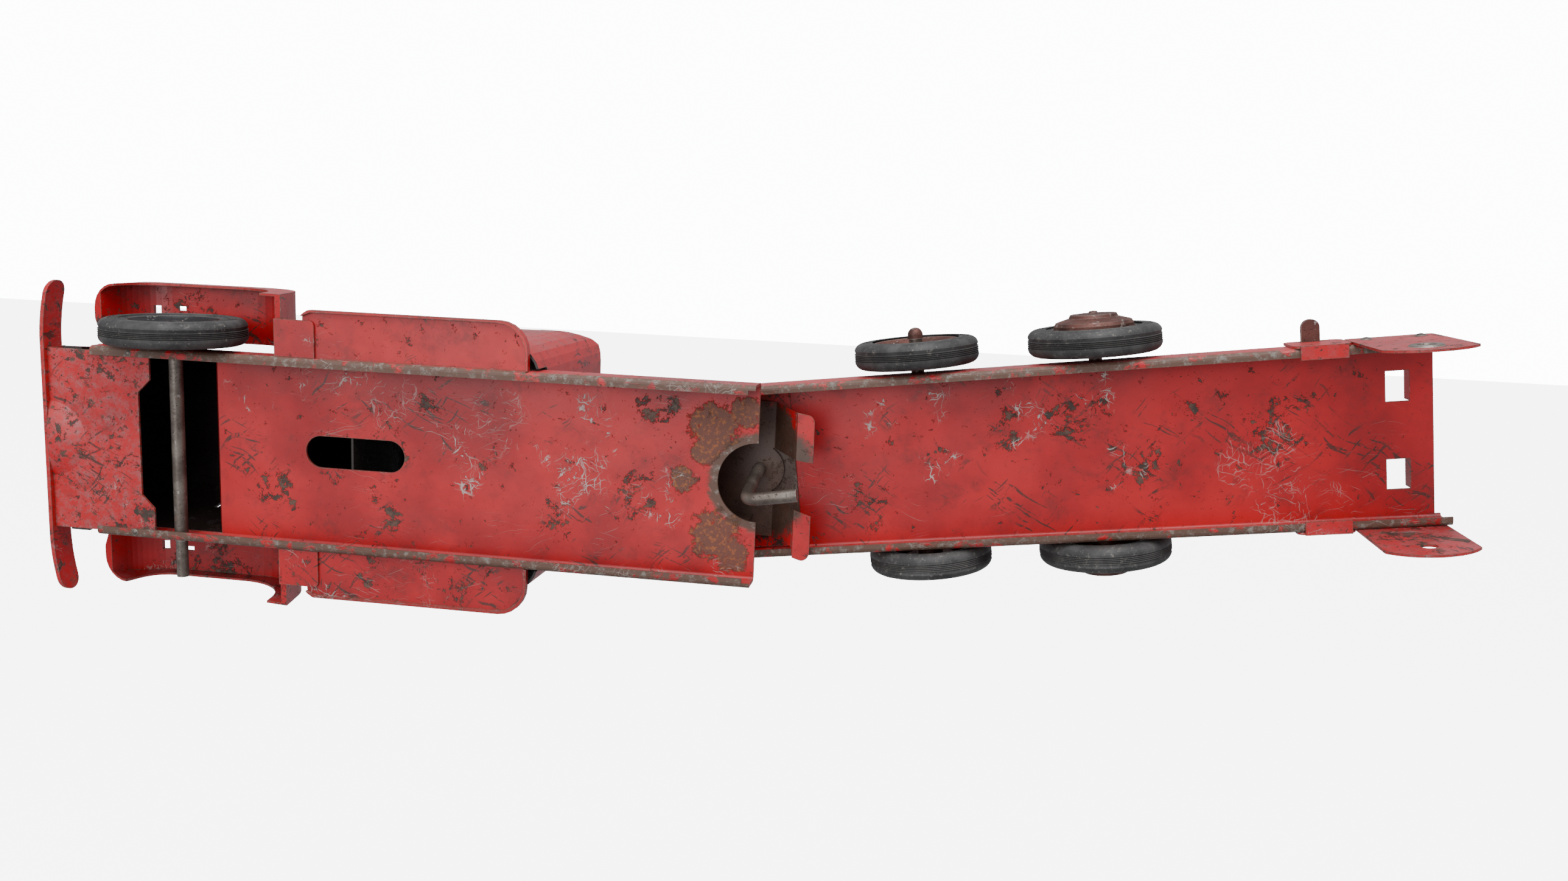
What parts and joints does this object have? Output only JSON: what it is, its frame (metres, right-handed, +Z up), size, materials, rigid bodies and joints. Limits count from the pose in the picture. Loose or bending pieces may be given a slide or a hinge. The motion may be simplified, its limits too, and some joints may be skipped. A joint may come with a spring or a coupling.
{
  "type": "toy tanker truck",
  "caption": "Worn red pressed steel toy tractor and tank semi-trailer, joined by a bent pin hitch, with rubber-tyred wheels that turn on rod axles.",
  "frame": {"origin": "middle of the bounding box, on the ground that the front tyre stands on", "axes": "+X forward along the tractor, +Y to the truck's left, +Z up; the trailer stands turned 7.4 degrees at the hitch, its tail towards +Y"},
  "size_m": [0.5241, 0.129, 0.1259],
  "materials": {
    "red_paint": "worn gloss enamel, chipped and scratched",
    "worn_paint": "red enamel rubbed down to brown steel",
    "steel": "dull tarnished steel rod",
    "rusty_steel": "brown rusted pressed steel",
    "black_steel": "semi-gloss black enamel",
    "rubber": "dusty hard rubber"
  },
  "bodies": {
    "tractor": {"tractor_chassis": "red_paint", "front_plate": "worn_paint", "bumper": "worn_paint", "grille": "red_paint", "hood": "red_paint", "cab": "red_paint", "cab_roof": "red_paint", "left_fender": "red_paint", "right_fender": "red_paint", "left_running_board": "red_paint", "right_running_board": "red_paint", "front_axle": "steel", "fifth_wheel": "red_paint", "hitch_stand": "red_paint", "tractor_rivets": "steel"},
    "trailer": {"trailer_chassis": "red_paint", "nose_doubler": "worn_paint", "hitch_pin": "steel", "nose_clips": "worn_paint", "tail_clips": "worn_paint", "left_axle_ear": "worn_paint", "right_axle_ear": "worn_paint", "ear_eyelet": "steel", "side_lever": "rusty_steel", "trailer_rivets": "steel", "front_saddle": "worn_paint", "rear_saddle": "worn_paint", "front_cradle": "worn_paint", "rear_cradle": "worn_paint", "first_axle": "steel", "second_axle": "steel", "first_axle_caps": "rusty_steel", "tank_barrel": "red_paint", "tank_front_head": "red_paint", "tank_rear_head": "red_paint", "tank_straps": "worn_paint", "filler_necks": "red_paint", "filler_lids": "worn_paint"},
    "front_wheel": {"front_tyre": "rubber", "front_hub": "black_steel"},
    "first_left_wheel": {"first_left_tyre": "rubber", "first_left_hub": "rusty_steel"},
    "first_right_wheel": {"first_right_tyre": "rubber", "first_right_hub": "rusty_steel"},
    "second_left_wheel": {"second_left_tyre": "rubber", "second_left_hub": "rusty_steel", "second_left_hubcap": "rusty_steel"},
    "second_right_wheel": {"second_right_tyre": "rubber", "second_right_hub": "rusty_steel", "second_right_hubcap": "rusty_steel"}
  },
  "joints": [
    {"name": "hitch_yaw", "type": "hinge", "parent": "tractor", "child": "trailer", "pos_m": [-0.0124, -0.00369, 0.045], "axis": [0, 0, 1], "range_deg": [-72, 87]},
    {"name": "front_wheel_spin", "type": "hinge", "parent": "tractor", "child": "front_wheel", "pos_m": [0.2086, 0.04031, 0.026], "axis": [0, 1, 0], "continuous": true},
    {"name": "first_left_spin", "type": "hinge", "parent": "trailer", "child": "first_left_wheel", "pos_m": [-0.06973, 0.04409, 0.0685], "axis": [0.1288, 0.9917, 0], "continuous": true},
    {"name": "first_right_spin", "type": "hinge", "parent": "trailer", "child": "first_right_wheel", "pos_m": [-0.08003, -0.03524, 0.0685], "axis": [0.1288, 0.9917, 0], "continuous": true},
    {"name": "second_left_spin", "type": "hinge", "parent": "trailer", "child": "second_left_wheel", "pos_m": [-0.13518, 0.05259, 0.0685], "axis": [0.1288, 0.9917, 0], "continuous": true},
    {"name": "second_right_spin", "type": "hinge", "parent": "trailer", "child": "second_right_wheel", "pos_m": [-0.14548, -0.02674, 0.0685], "axis": [0.1288, 0.9917, 0], "continuous": true}
  ]
}
